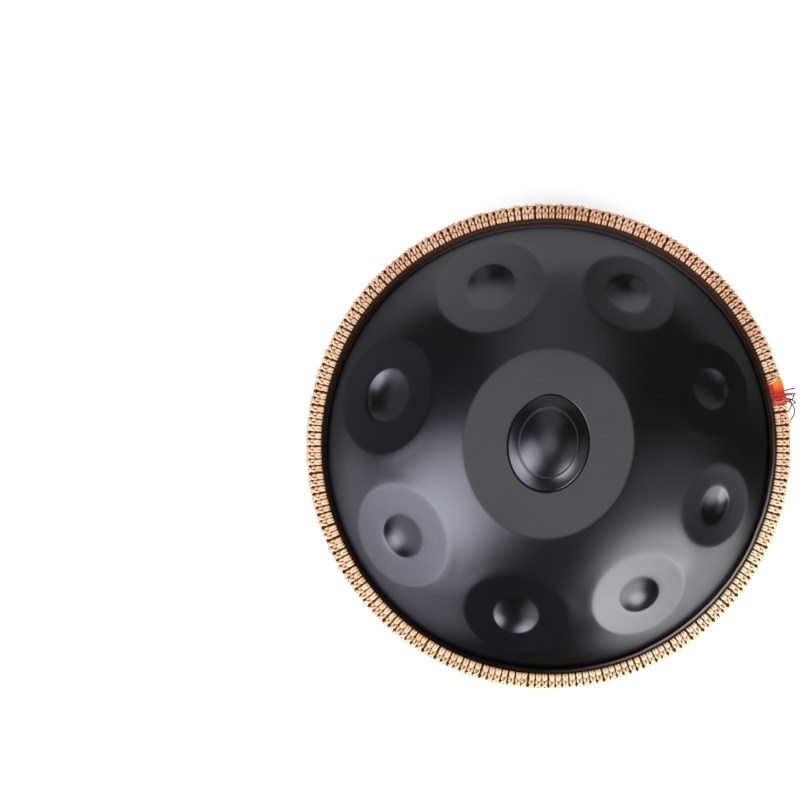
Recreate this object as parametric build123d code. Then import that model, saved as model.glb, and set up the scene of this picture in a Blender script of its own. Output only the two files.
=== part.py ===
from build123d import *
import math
import os

# Handpan: two dished steel shells glued flange to flange, with a laced rope rim.
# The frame's origin is on the instrument's axis, at the bottom of the lower shell.
# +Z is up the axis, towards the ding. Lengths are in millimetres, angles in degrees.

# Sheet and rim
sheet = 1.2                     # thickness of both steel shells
bond = 0.4                      # glue line between the flanges
crease_radius = 262.0           # where the domes would meet the flanges without a bend
flange_radius = 280.0           # outer edge of both flanges
bend_radius = 3.0               # the bend between dome and flange, on its hollow side

# Dome profiles: a crown arc out to the junction, then a tighter shoulder arc to the crease
junction_radius = 190.0
shoulder_arc = 180.0
upper_crown_arc = 420.0
lower_crown_arc = 380.0

# Bottom of the lower shell: a flat ring to stand on, around the port and its neck
port_radius = 52.0
lip_radius = 6.0                # bend between the flat ring and the neck
neck_top = 30.0                 # height of the neck's upper edge
flat_corner = 75.0              # where the flat would meet the crown arc without rounding
flat_rounding = 40.0

# Central note: an oval flat, an oval skirt on it, and a domed top on the skirt
ding_azimuth = 82.0             # direction of the ovals' long axis
ding_flat = (212.0, 189.0)      # long and short axis
ding_base = (108.0, 90.0)
ding_top = (78.0, 66.0)
skirt_height = 5.0
cap_height = 8.0
skirt_inset = 0.4               # how much narrower the inside of the skirt is, all round

# Outer notes: azimuth, radius of the centre, then field and dimple sizes, each
# across the instrument's radius and along it
outer_notes = [
    (163.0, 192.0, (135.0, 126.0), (62.0, 56.0)),
    (110.0, 192.0, (126.0, 130.0), (56.0, 60.0)),
    (212.0, 196.0, (124.0, 117.0), (50.0, 50.0)),
    (259.0, 196.0, (117.0, 107.0), (51.0, 53.0)),
    (62.0, 195.0, (108.0, 104.0), (49.0, 49.0)),
    (19.0, 196.0, (106.0, 102.0), (48.0, 49.0)),
    (340.0, 201.0, (98.0, 92.0), (43.0, 37.0)),
    (301.0, 199.0, (111.0, 104.0), (46.0, 45.0)),
]
dimple_depth_ratio = 0.11       # depth of a dimple over its mean diameter
slope_rounds = 20               # rounds in which a note's slope settles
pocket_height = 30.0            # clears the dome over any note

# Rope work around the rim
rope_inner = 267.0
rope_outer = 285.0
rope_half_height = 7.5
rope_inner_rounding = 4.0
rope_outer_rounding = 6.5
ring_cord = 3.0                 # diameter of each carrier cord
ring_cord_seat = 270.8          # radius of the ring that each carrier cord follows
ring_cord_flat = 0.2            # how much the cord is pressed flat on the flange

# Joined ends of the rope: the rope work is thinner there, and holds a ribbon and a whipping
splice_seat = 1.6               # how far the rope work is set back under the wraps
seat_cut = 1.0                  # how far past the rope's own surface that seat is cut
wrap_thickness = 1.2
ribbon_azimuths = (13.3, 16.0)
ribbon_inner = 270.8
whipping_azimuths = (10.4, 13.3)
whipping_inner = 268.6

# Loose thread ends. Each route starts inside the whipping and has its own points:
# distance from the axis, azimuth, and height above the middle of the rim
thread_diameter = 1.4
thread_routes = {
    "red_thread_1": [
        (282.8, 13.05, 1.2), (288.3, 13.2, 1.9), (294.2, 13.2, 1.0),
        (297.4, 13.15, -4.4), (297.8, 13.3, -12.0), (297.2, 13.4, -19.6),
    ],
    "red_thread_2": [
        (282.8, 12.35, 2.6), (288.4, 12.3, 3.4), (294.0, 12.1, 2.2),
        (297.0, 11.95, -3.4), (296.4, 11.9, -10.6), (297.0, 11.75, -17.8),
    ],
    "red_thread_3": [
        (282.8, 12.1, -1.0), (288.2, 12.0, -0.4), (293.4, 11.8, -2.0),
        (295.0, 11.2, -7.4), (292.4, 10.75, -13.2), (289.0, 10.95, -19.0),
        (288.8, 11.3, -25.2),
    ],
    "red_thread_4": [
        (282.8, 11.6, 0.6), (287.4, 11.15, 1.2), (291.6, 10.6, 0.8),
        (295.2, 10.0, -3.2), (295.8, 9.85, -10.6), (294.6, 9.95, -18.0),
    ],
    "red_thread_5": [
        (282.8, 11.1, 3.0), (287.4, 10.8, 3.8), (289.6, 10.0, 2.2),
        (288.8, 9.2, -3.2), (287.4, 8.5, -9.8), (286.8, 8.2, -17.0),
        (287.6, 8.3, -23.8),
    ],
    "red_thread_6": [
        (282.8, 10.8, -3.4), (288.4, 10.5, -4.4), (291.6, 9.6, -5.2),
        (293.2, 8.5, -6.6), (292.6, 7.4, -10.0), (290.2, 6.55, -15.0),
        (288.6, 6.1, -21.8),
    ],
}
arc_share = 0.45                # part of the shorter run that each arc takes up


def on_circle(centre, radius, slope):
    """Point of a profile arc where the surface has that slope, in (r, z)."""
    angle = math.radians(slope)
    return (centre[0] + radius * math.sin(angle), centre[1] + radius * math.cos(angle))


def dome_profile(crown_arc):
    """Centres and slopes of a dome's arcs, with the flange's outer face at height 0."""
    junction_slope = math.degrees(math.asin(junction_radius / crown_arc))
    shoulder_r = junction_radius - shoulder_arc * math.sin(math.radians(junction_slope))
    crease_slope = math.degrees(math.asin((crease_radius - shoulder_r) / shoulder_arc))
    shoulder_z = -shoulder_arc * math.cos(math.radians(crease_slope))
    rise = (crown_arc - shoulder_arc) * math.cos(math.radians(junction_slope))
    reach = shoulder_arc + bend_radius
    bend_r = shoulder_r + math.sqrt(reach ** 2 - (bend_radius - shoulder_z) ** 2)
    bend_slope = math.degrees(math.asin((bend_r - shoulder_r) / reach))
    return {
        "crown_arc": crown_arc,
        "crown": (0.0, shoulder_z - rise),
        "shoulder": (shoulder_r, shoulder_z),
        "bend": (bend_r, bend_radius),
        "junction_slope": junction_slope,
        "bend_slope": bend_slope,
    }


upper = dome_profile(upper_crown_arc)
lower = dome_profile(lower_crown_arc)

# Heights in the instrument's frame
lower_crown_z = math.sqrt(lower_crown_arc ** 2 - flat_corner ** 2)
lower_flange_face = lower_crown_z + lower["crown"][1]
rim_z = lower_flange_face + sheet + bond / 2
upper_flange_face = rim_z + bond / 2 + sheet
ding_drop = upper_crown_arc - math.sqrt(upper_crown_arc ** 2 - (ding_flat[0] / 2) ** 2)
ding_flat_z = upper["crown"][1] + upper_crown_arc - ding_drop + upper_flange_face


def dome_height(r):
    """Height of the upper dome's outer face above its flange, at radius r."""
    if r <= junction_radius:
        return upper["crown"][1] + math.sqrt(upper_crown_arc ** 2 - r ** 2)
    across = r - upper["shoulder"][0]
    return upper["shoulder"][1] + math.sqrt(shoulder_arc ** 2 - across ** 2)


def shell_line(dome, inset, start_slope):
    """Arcs of a dome face, inset into the sheet, from a crown slope out to the bend."""
    crown_arc = dome["crown_arc"] - inset
    shoulder = shoulder_arc - inset
    bend = bend_radius + inset
    crown_start = on_circle(dome["crown"], crown_arc, start_slope)
    crown_middle = on_circle(dome["crown"], crown_arc, (start_slope + dome["junction_slope"]) / 2)
    junction = on_circle(dome["crown"], crown_arc, dome["junction_slope"])
    shoulder_middle = on_circle(
        dome["shoulder"], shoulder, (dome["junction_slope"] + dome["bend_slope"]) / 2
    )
    bend_start = on_circle(dome["shoulder"], shoulder, dome["bend_slope"])
    bend_middle = on_circle(dome["bend"], -bend, dome["bend_slope"] / 2)
    bend_end = (dome["bend"][0], dome["bend"][1] - bend)
    return [
        ThreePointArc(crown_start, crown_middle, junction),
        ThreePointArc(junction, shoulder_middle, bend_start),
        ThreePointArc(bend_start, bend_middle, bend_end),
    ]


def revolved(lines, angle=360.0):
    """Solid swept by a closed outline, drawn in (r, z), around the instrument's axis."""
    outline = make_face(Wire(lines))
    return revolve(Plane.XZ * outline, axis=Axis.Z, revolution_arc=angle)


def dome_solid(inset, bottom):
    """Everything under a dome face, down to a flat bottom."""
    lines = shell_line(upper, inset, 0.0)
    bend_end = lines[-1] @ 1
    apex = lines[0] @ 0
    lines += [
        Line(bend_end, (bend_end.X, bottom)),
        Line((bend_end.X, bottom), (0.0, bottom)),
        Line((0.0, bottom), apex),
    ]
    return revolved(lines)


def ellipse_prism(plane, size, extra, height):
    """Upright oval block on a plane, grown by extra on its sides."""
    oval = Ellipse(size[0] / 2 + extra, size[1] / 2 + extra)
    return extrude(plane * oval, amount=height)


def note_plane(note):
    """Plane of an outer note: its inner and outer edges both lie on the dome."""
    azimuth, centre_r, field, _ = note
    slope = 0.0
    for _ in range(slope_rounds):
        half = field[1] / 2 * math.cos(slope)
        drop = dome_height(centre_r - half) - dome_height(centre_r + half)
        slope = math.atan2(drop, 2 * half)
    height = (dome_height(centre_r - half) + dome_height(centre_r + half)) / 2
    turn = math.radians(azimuth)
    outward = Vector(math.cos(turn), math.sin(turn), 0)
    normal = outward * math.sin(slope) + Vector(0, 0, math.cos(slope))
    origin = outward * centre_r + Vector(0, 0, height)
    across = Vector(-math.sin(turn), math.cos(turn), 0)
    return Plane(origin=origin, x_dir=across, z_dir=normal)


def note_cutters(note, inset):
    """Oval pocket and its dimple, both grown into the sheet by inset."""
    plane = note_plane(note).offset(-inset)
    _, _, field, dimple = note
    pocket = ellipse_prism(plane, field, inset, pocket_height)
    mean = (dimple[0] + dimple[1]) / 4
    depth = 2 * mean * dimple_depth_ratio
    ball = (mean ** 2 + depth ** 2) / (2 * depth)
    stretch = (dimple[0] / 2 / mean, dimple[1] / 2 / mean, 1.0)
    hollow = scale(Rot(0, -90, 0) * Sphere(ball + inset), by=stretch)
    centre = note_plane(note).offset(ball - depth)
    return [pocket, centre.location * hollow]


def ding_solid(inset):
    """Raised centre of the ding note, lowered and narrowed for its inside."""
    shrink = skirt_inset * inset / sheet
    base = [size / 2 - shrink for size in ding_base]
    top = [size / 2 - shrink for size in ding_top]
    skirt = loft([Ellipse(*base), Pos(0, 0, skirt_height) * Ellipse(*top)])
    mean = sum(top) / 2
    ball = (mean ** 2 + cap_height ** 2) / (2 * cap_height)
    dome = scale(Rot(0, 90, 0) * Sphere(ball), by=(top[0] / mean, top[1] / mean, 1.0))
    above = Pos(0, 0, cap_height) * Box(4 * mean, 4 * mean, 2 * cap_height)
    cap = (Pos(0, 0, cap_height - ball) * dome) & above
    height = ding_flat_z - upper_flange_face - inset
    return Pos(0, 0, height) * Rot(0, 0, ding_azimuth) * (skirt + Pos(0, 0, skirt_height) * cap)


def pressed_dome(inset, bottom):
    """Dome with every note pressed into it, as a filled block."""
    body = dome_solid(inset, bottom)
    flat_plane = Plane.XY.offset(ding_flat_z - upper_flange_face - inset)
    turned = Plane(flat_plane.origin, x_dir=Vector(1, 0, 0).rotate(Axis.Z, ding_azimuth))
    body -= ellipse_prism(turned, ding_flat, inset, pocket_height)
    for note in outer_notes:
        for cutter in note_cutters(note, inset):
            body -= cutter
    return body + ding_solid(inset)


def make_upper_shell():
    outside = pressed_dome(0.0, -sheet)
    flange = Pos(0, 0, -sheet / 2) * Cylinder(flange_radius, sheet)
    inside = pressed_dome(sheet, -2 * sheet)
    return Pos(0, 0, upper_flange_face) * (outside + flange - inside)


def lower_face(inset):
    """Outline of one face of the lower shell, upside down, from the neck to the bend."""
    drop = lower_flange_face
    rounding_r = rounding_radius_from_axis()
    touch = math.degrees(math.asin(rounding_r / (lower_crown_arc - flat_rounding)))
    rounding_centre = (rounding_r, drop - flat_rounding)
    rounding = flat_rounding - inset
    lip = lip_radius - inset
    lip_centre = (port_radius + lip_radius, drop - lip_radius)
    neck_end = (port_radius + inset, drop - neck_top)
    lip_start = (port_radius + inset, lip_centre[1])
    lip_middle = on_circle(lip_centre, lip, -45.0)
    lip_end = on_circle(lip_centre, lip, 0.0)
    flat_end = on_circle(rounding_centre, rounding, 0.0)
    return [
        Line(neck_end, lip_start),
        ThreePointArc(lip_start, lip_middle, lip_end),
        Line(lip_end, flat_end),
        ThreePointArc(
            flat_end,
            on_circle(rounding_centre, rounding, touch / 2),
            on_circle(rounding_centre, rounding, touch),
        ),
        *shell_line(lower, inset, touch),
    ]


def rounding_radius_from_axis():
    """Radius at which the flat ring starts to round up into the dome."""
    height = lower_crown_z - flat_rounding
    return math.sqrt((lower_crown_arc - flat_rounding) ** 2 - height ** 2)


def make_lower_shell():
    outer = lower_face(0.0)
    inner = lower_face(sheet)
    outer_end = outer[-1] @ 1
    inner_end = inner[-1] @ 1
    edge = [
        Line(outer_end, (flange_radius, outer_end.Y)),
        Line((flange_radius, outer_end.Y), (flange_radius, inner_end.Y)),
        Line((flange_radius, inner_end.Y), inner_end),
        Line(outer[0] @ 0, inner[0] @ 0),
    ]
    upside_down = revolved(outer + inner + edge)
    return Pos(0, 0, lower_flange_face) * (Rot(180, 0, 0) * upside_down)


def ring(inner_r, outer_r, low, high):
    outline = Pos((inner_r + outer_r) / 2, (low + high) / 2) * Rectangle(outer_r - inner_r, high - low)
    return revolve(Plane.XZ * outline, axis=Axis.Z)


def make_rim_adhesive():
    inner_r = lower["bend"][0]
    return ring(inner_r, flange_radius, rim_z - bond / 2, rim_z + bond / 2)


def make_ring_cord(side):
    """Carrier cord on one flange: side is 1 above the rim and -1 below it."""
    face = bond / 2 + sheet
    centre = face + ring_cord / 2 - ring_cord_flat
    outline = Pos(ring_cord_seat, side * centre) * Circle(ring_cord / 2)
    keep = Pos(ring_cord_seat, side * (face + ring_cord)) * Rectangle(2 * ring_cord, 2 * ring_cord)
    return Pos(0, 0, rim_z) * revolve(Plane.XZ * (outline & keep), axis=Axis.Z)


def rope_outline(grow):
    """Section of the rope work, in (r, height above the middle of the rim)."""
    width = rope_outer - rope_inner + 2 * grow
    height = 2 * (rope_half_height + grow)
    block = Pos((rope_inner + rope_outer) / 2, 0) * Rectangle(width, height)
    corners = block.vertices().sort_by(Axis.X)
    block = fillet(corners[2:], rope_outer_rounding + grow)
    corners = block.vertices().sort_by(Axis.X)
    return fillet(corners[:2], rope_inner_rounding + grow)


def flange_section():
    """Section of both flanges and their bond, from the axis out to the flange edge."""
    return Pos(flange_radius / 2, 0) * Rectangle(flange_radius, bond + 2 * sheet)


def rim_sector(section, azimuths):
    """Part of a ring around the rim, between two azimuths."""
    piece = revolve(Plane.XZ * section, axis=Axis.Z, revolution_arc=azimuths[1] - azimuths[0])
    return Pos(0, 0, rim_z) * (Rot(0, 0, azimuths[0]) * piece)


def make_rim_lacing(upper_cord, lower_cord):
    band = revolve(Plane.XZ * (rope_outline(0.0) - flange_section()), axis=Axis.Z)
    seat_azimuths = (whipping_azimuths[0], ribbon_azimuths[1])
    seat = rim_sector(rope_outline(seat_cut) - rope_outline(-splice_seat), seat_azimuths)
    return Pos(0, 0, rim_z) * band - seat - upper_cord - lower_cord


def make_wrap(azimuths, inner_r):
    """Strip wound around the set-back rope work, between two azimuths."""
    strip = rope_outline(wrap_thickness - splice_seat) - rope_outline(-splice_seat)
    reach = rope_outer - inner_r
    strip &= Pos(inner_r + reach / 2, 0) * Rectangle(reach, 4 * rope_half_height)
    return rim_sector(strip - flange_section(), azimuths)


def thread_points(route):
    points = []
    for r, azimuth, height in route:
        turn = math.radians(azimuth)
        points.append(Vector(r * math.cos(turn), r * math.sin(turn), rim_z + height))
    return points


def arc_radii(points):
    """One arc radius for each corner of a route."""
    radii = []
    for before, corner, after in zip(points, points[1:], points[2:]):
        turn = math.radians((corner - before).get_angle(after - corner))
        shorter = min((corner - before).length, (after - corner).length)
        radii.append(arc_share * shorter / math.tan(turn / 2))
    return radii


def make_thread(name, route, splice):
    """Thread end that starts on the face of the whipping."""
    points = thread_points(route)
    radii = arc_radii(points)
    path = FilletPolyline(*points, radius=radii)
    start = Plane(origin=points[0], z_dir=points[1] - points[0])
    tube = sweep(start * Circle(thread_diameter / 2), path=path)
    section = math.pi * (thread_diameter / 2) ** 2
    print(name, "length", round(path.length, 2), "radii", [round(r, 1) for r in radii])
    print(name, "volume", round(tube.volume, 2), "section x length", round(section * path.length, 2))
    return tube - splice


def make_splice_block():
    """Whipping and the rope work inside it, as one filled block."""
    return rim_sector(rope_outline(wrap_thickness - splice_seat), whipping_azimuths)


def main():
    os.makedirs("parts", exist_ok=True)
    upper_cord = make_ring_cord(1)
    lower_cord = make_ring_cord(-1)
    pieces = {
        "upper_shell": make_upper_shell(),
        "lower_shell": make_lower_shell(),
        "rim_adhesive": make_rim_adhesive(),
        "upper_ring_cord": upper_cord,
        "lower_ring_cord": lower_cord,
        "rim_lacing": make_rim_lacing(upper_cord, lower_cord),
        "splice_ribbon": make_wrap(ribbon_azimuths, ribbon_inner),
        "splice_whipping": make_wrap(whipping_azimuths, whipping_inner),
    }
    splice = make_splice_block()
    for name, route in thread_routes.items():
        pieces[name] = make_thread(name, route, splice)
    for name, piece in pieces.items():
        export_step(piece, f"parts/{name}.step")


main()
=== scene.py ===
import math
import random

import bmesh
import bpy
import numpy as np
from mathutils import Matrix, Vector
from mathutils.geometry import delaunay_2d_cdt


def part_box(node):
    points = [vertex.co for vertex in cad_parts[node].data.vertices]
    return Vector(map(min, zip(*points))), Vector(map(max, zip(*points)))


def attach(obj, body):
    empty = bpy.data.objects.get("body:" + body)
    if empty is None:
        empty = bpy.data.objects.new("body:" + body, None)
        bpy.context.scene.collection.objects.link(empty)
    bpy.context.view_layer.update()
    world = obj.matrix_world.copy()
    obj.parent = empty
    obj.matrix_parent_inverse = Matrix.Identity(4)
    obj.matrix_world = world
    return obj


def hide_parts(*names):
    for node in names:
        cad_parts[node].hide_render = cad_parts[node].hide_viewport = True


# A handpan seen from above. Unless a name says otherwise, lengths are in millimetres and
# angles in degrees, on the CAD frame's axes; meshes are scaled to metres when they are made.

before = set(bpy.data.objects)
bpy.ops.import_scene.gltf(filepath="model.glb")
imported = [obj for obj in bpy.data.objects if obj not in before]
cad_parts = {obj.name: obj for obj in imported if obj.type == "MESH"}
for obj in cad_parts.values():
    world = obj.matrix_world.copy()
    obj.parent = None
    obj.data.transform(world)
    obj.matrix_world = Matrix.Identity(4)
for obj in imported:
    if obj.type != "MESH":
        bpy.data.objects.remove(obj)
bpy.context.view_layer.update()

MM = 0.001

# Places read from the frame
RIM_Z = sum(corner.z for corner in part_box("rim_adhesive")) / 2 / MM
FLANGE_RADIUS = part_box("upper_shell")[1].x / MM

# Sheet and domes, as in the CAD model
SHEET = 1.2
BOND = 0.4
BEND = 3.0
CREASE_RADIUS = 262.0
JUNCTION_RADIUS = 190.0
SHOULDER_ARC = 180.0
UPPER_CROWN = 420.0
LOWER_CROWN = 380.0
PORT_RADIUS = 52.0
LIP = 6.0
NECK_TOP = 30.0
FLAT_CORNER = 75.0
FLAT_ROUNDING = 40.0

# Notes: azimuth, radius of the centre, then field and dimple sizes, across the radius and along it
OUTER_NOTES = [
    (163.0, 192.0, (135.0, 126.0), (62.0, 56.0)),
    (110.0, 192.0, (126.0, 130.0), (56.0, 60.0)),
    (212.0, 196.0, (124.0, 117.0), (50.0, 50.0)),
    (259.0, 196.0, (117.0, 107.0), (51.0, 53.0)),
    (62.0, 195.0, (108.0, 104.0), (49.0, 49.0)),
    (19.0, 196.0, (106.0, 102.0), (48.0, 49.0)),
    (340.0, 201.0, (98.0, 92.0), (43.0, 37.0)),
    (301.0, 199.0, (111.0, 104.0), (46.0, 45.0)),
]
DIMPLE_DEPTH_RATIO = 0.11
DING_AZIMUTH = 82.0
DING_FLAT = (212.0, 189.0)
DING_BASE = (108.0, 90.0)
DING_TOP = (78.0, 66.0)
SKIRT_HEIGHT = 5.0
CAP_HEIGHT = 8.0
BEAD = 0.45  # ridge round the ding's cap, and its width
BEAD_WIDTH = 0.9
GROOVE = 0.6  # groove round the ding's foot, and its width
GROOVE_WIDTH = 0.8

# Painted shade on the bend and the flange, with a painted reflection of the rope on one side and a
# strip of painted highlight on the other: azimuths, radii and colours
LIT_SIDE = 320.0  # where a strip of painted highlight shows and the painted shade begins furthest out
ROPE_REFLECTION_SIDE = 80.0  # where the painted shade reaches furthest in, lightened and browned as a painted reflection of the rope
RIM_SHADING_EDGE = (258.2, 260.6)  # radii over which it comes in
RIM_SHADING_DEEPENS = (258.0, 262.5)  # radii over which its colour goes from the shoulder's to the crease's
HIGHLIGHT_STRIP_IN = (262.6, 263.4)  # radii over which the strip of painted highlight begins and ends
HIGHLIGHT_STRIP_OUT = (265.0, 265.8)
ROPE_SHADE_RADII = (265.0, 266.4)  # radii over which the painted shade under the rope comes in
# Colours of the painted shade on the shoulder and in the crease, from the side away from the rope's
# painted reflection to the side of it; then the colour of the painted shade under the rope
SHOULDER_SHADING = [(0.0, (0.010, 0.009, 0.008)), (0.45, (0.020, 0.018, 0.016)),
             (0.80, (0.018, 0.015, 0.012)), (0.97, (0.095, 0.082, 0.078))]
CREASE_SHADING = [(0.0, (0.004, 0.003, 0.002)), (0.45, (0.007, 0.004, 0.002)),
              (0.80, (0.019, 0.009, 0.005)), (0.97, (0.044, 0.021, 0.014))]
ROPE_SHADE_COLOUR = (0.07, 0.021, 0.008)

# Rope work
HITCHES = 216
STRAND = 1.8  # radius of a strand
HALF_PACK = BOND / 2 + SHEET  # half the thickness of the joined flanges
SPLICE_FROM = 10.0  # azimuths of the gap in the hitches, the whipping and the ribbon
SPLICE_TO = 16.6
WHIPPING_FROM = 10.1
RIBBON_FROM = 12.8
RIBBON_TO = 16.45
RIBBON_TUCK = 0.4  # how far the ribbon goes under the whipping
RIBBON_SPANS = 18
WHIPPING_TURNS = 5
WHIPPING_RADIUS = 1.25
EDGE_STRANDS = (9.7, 16.7)  # azimuths of the strands along the splice's inner edge
EDGE_STRANDS_AT = 13.3  # azimuths from which the strands at the splice are measured
LEANING_AT = 16.0
LEANING_RADIUS = 1.05
TUBE_SIDES = 8
CORE_R = 275.5  # middle of the rope's section, and its width over its height
CORE_SPREAD = 1.6
ARC_R = 276.0  # radius at which distances along the rim are measured
BIGHT_TIP = 272.8  # radius that the loops of the inner row reach
REDDER_DARKER_SIDE = 75.0  # azimuths where the rope is reddest and darkest, and where it is palest, as painted light on the side the main lamp lights
LIT_ROPE_SIDE = 312.0
CREEP_SIDE = 222.0  # azimuth where the rope's inner row lies furthest in, and how far
CREEP = 2.2
CREEP_FADE = 3.5  # distance from the loops' tips over which that comes in
PLIES_ROUND = 2.0  # plies met once round a strand, and along a metre of it
PLIES_ALONG = 420.0
OUTER_SHADE_RADII = (280.5, 283.5)  # radii over which the rope grows darker towards its outer edge: painted shade where the strands turn down

# Camera: straight down but for a degree or two, with the handpan right of the middle
CAMERA_ELEVATION = 88.5
CAMERA_DISTANCE = 1.8  # in metres
LENS = 69.06
SHIFT = (-0.1856, 0.0573)


# -------- small helpers

def smooth(x):
    x = np.clip(x, 0.0, 1.0)
    return x * x * (3.0 - 2.0 * x)


def direction(azimuth):
    turn = math.radians(azimuth)
    return math.cos(turn), math.sin(turn)


def add_object(name, data):
    added = bpy.data.objects.new(name, data)
    bpy.context.scene.collection.objects.link(added)
    return added


def mesh_piece(name, verts, faces, material, normals=None, uvs=None):
    """Smooth mesh object from points in millimetres. uvs holds one pair for each corner."""
    mesh = bpy.data.meshes.new(name)
    mesh.from_pydata((np.asarray(verts) * MM).tolist(), [], faces)
    mesh.polygons.foreach_set("use_smooth", [True] * len(mesh.polygons))
    if uvs is not None:
        layer = mesh.uv_layers.new(name="uv")
        layer.data.foreach_set("uv", np.asarray(uvs, dtype=np.float32).ravel())
    mesh.materials.append(material)
    mesh.update()
    if normals is not None:
        mesh.normals_split_custom_set_from_vertices(np.asarray(normals).tolist())
    return add_object(name, mesh)


def set_point_values(piece, name, values):
    """One number for each point of a mesh, for its material to read."""
    attribute = piece.data.attributes.new(name, "FLOAT", "POINT")
    attribute.data.foreach_set("value", values.astype(np.float32))


def finish_piece(piece, slot, *nodes):
    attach(piece, "root")
    if nodes:
        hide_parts(*nodes)


# -------- camera

def make_camera():
    camera = add_object("camera", bpy.data.cameras.new("camera"))
    lift = math.radians(CAMERA_ELEVATION)
    target = Vector((0.0, 0.0, RIM_Z * MM))
    camera.location = target + CAMERA_DISTANCE * Vector((0.0, -math.cos(lift), math.sin(lift)))
    camera.rotation_euler = (math.pi / 2 - lift, 0.0, 0.0)
    camera.data.lens = LENS
    camera.data.sensor_width = 36.0
    camera.data.shift_x, camera.data.shift_y = SHIFT
    bpy.context.scene.camera = camera


# -------- materials

class Nodes:
    """Short way to build the nodes of a material or of the world."""

    def __init__(self, owner, shader="Principled BSDF"):
        owner.use_nodes = True
        self.owner = owner
        self.tree = owner.node_tree
        self.shader = self.tree.nodes[shader]

    def feed(self, socket, value):
        """Links an output to a socket, or sets the socket to a number, a vector or a colour."""
        if isinstance(value, bpy.types.NodeSocket):
            self.tree.links.new(value, socket)
        else:
            socket.default_value = (*value, 1.0) if socket.type == "RGBA" else value

    def set(self, **values):
        """Feeds the shader's own sockets."""
        for key, value in values.items():
            self.feed(self.shader.inputs[key.replace("_", " ")], value)

    def add(self, kind, *values, **settings):
        """A node, with values for its first inputs, and settings for it or for its named inputs."""
        node = self.tree.nodes.new("ShaderNode" + kind)
        for key, value in settings.items():
            if hasattr(node, key):
                setattr(node, key, value)
            else:
                node.inputs[key].default_value = value
        for socket, value in zip(node.inputs, values):
            self.feed(socket, value)
        return node

    def math(self, operation, *values):
        return self.add("Math", *values, operation=operation).outputs[0]

    def vector(self, operation, *values):
        return self.add("VectorMath", *values, operation=operation).outputs

    def noise(self, vector, scale, detail=3.0, roughness=0.5):
        node = self.add("TexNoise", vector, Scale=scale, Detail=detail, Roughness=roughness)
        return node.outputs["Fac"]

    def remap(self, value, low, high, to_low=0.0, to_high=1.0):
        return self.add("MapRange", value, low, high, to_low, to_high).outputs["Result"]

    def ramp(self, value, stops):
        node = self.add("ValToRGB", value)
        elements = node.color_ramp.elements
        for index, (place, colour) in enumerate(stops):
            element = elements[index] if index < 2 else elements.new(place)
            element.position = place
            element.color = (*colour, 1.0)
        return node.outputs["Color"]

    def mix(self, factor, a, b):
        node = self.add("Mix", data_type="RGBA")
        for index, value in ((0, factor), (6, a), (7, b)):
            self.feed(node.inputs[index], value)
        return node.outputs[2]

    def bump(self, height, strength, distance):
        """Bumps whose height is given in metres."""
        node = self.add("Bump", Strength=strength, Distance=distance)
        self.feed(node.inputs["Height"], height)
        self.set(Normal=node.outputs["Normal"])

    def attribute(self, name):
        return self.add("Attribute", attribute_name=name).outputs["Fac"]

    def object_point(self):
        return self.add("TexCoord").outputs["Object"]

    def from_axis(self, point):
        """A point's vector from the handpan's upright axis, and its distance from it in metres."""
        flat = self.vector("MULTIPLY", point, (1.0, 1.0, 0.0))[0]
        return flat, self.vector("LENGTH", flat)["Value"]


def facing(n, flat, length, azimuth):
    """1 on the side of the handpan at an azimuth, -1 on the far side."""
    side = n.vector("DOT_PRODUCT", flat, (*direction(azimuth), 0.0))["Value"]
    return n.math("DIVIDE", side, length)


def rim_shading_zones(n, point):
    """Share and colour of the painted shade round the rim, lightened and browned on one side as a
    painted reflection of the rope, and share of the strip of painted highlight.
    """
    flat, length = n.from_axis(point)
    wander = n.remap(n.noise(point, 30.0, 2.0), 0.3, 0.7, -0.5, 0.5)
    edge = n.math("SUBTRACT", n.math("DIVIDE", length, MM), wander)
    # On the lit side the painted shade begins further out.
    toward = n.math("MAXIMUM", facing(n, flat, length, LIT_SIDE), 0.0)
    lit_share = n.remap(n.math("POWER", toward, 8.0), 0.0, 1.0, 0.02, 0.9)
    start = n.math("SUBTRACT", edge, n.math("MULTIPLY", lit_share, 1.8))
    # Towards the rope's painted reflection the painted shade reaches further in, in lighter and browner
    # colours.
    reflection_share = n.remap(facing(n, flat, length, ROPE_REFLECTION_SIDE), -1.0, 1.0)
    start = n.math("ADD", start, n.math("MULTIPLY", n.math("POWER", reflection_share, 2.0), 4.0))
    rim_shading = n.remap(start, *RIM_SHADING_EDGE)
    # The strip of painted highlight on the flange, shown on the lit side only.
    strip = n.math("MULTIPLY", n.remap(edge, *HIGHLIGHT_STRIP_IN), n.remap(edge, *HIGHLIGHT_STRIP_OUT, 1.0, 0.0))
    deepening = n.remap(edge, *RIM_SHADING_DEEPENS)
    colour = n.mix(deepening, n.ramp(reflection_share, SHOULDER_SHADING), n.ramp(reflection_share, CREASE_SHADING))
    # Painted shade under the rope's inner edge.
    colour = n.mix(n.remap(edge, *ROPE_SHADE_RADII), colour, ROPE_SHADE_COLOUR)
    return rim_shading, colour, n.math("MULTIPLY", strip, lit_share)


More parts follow.
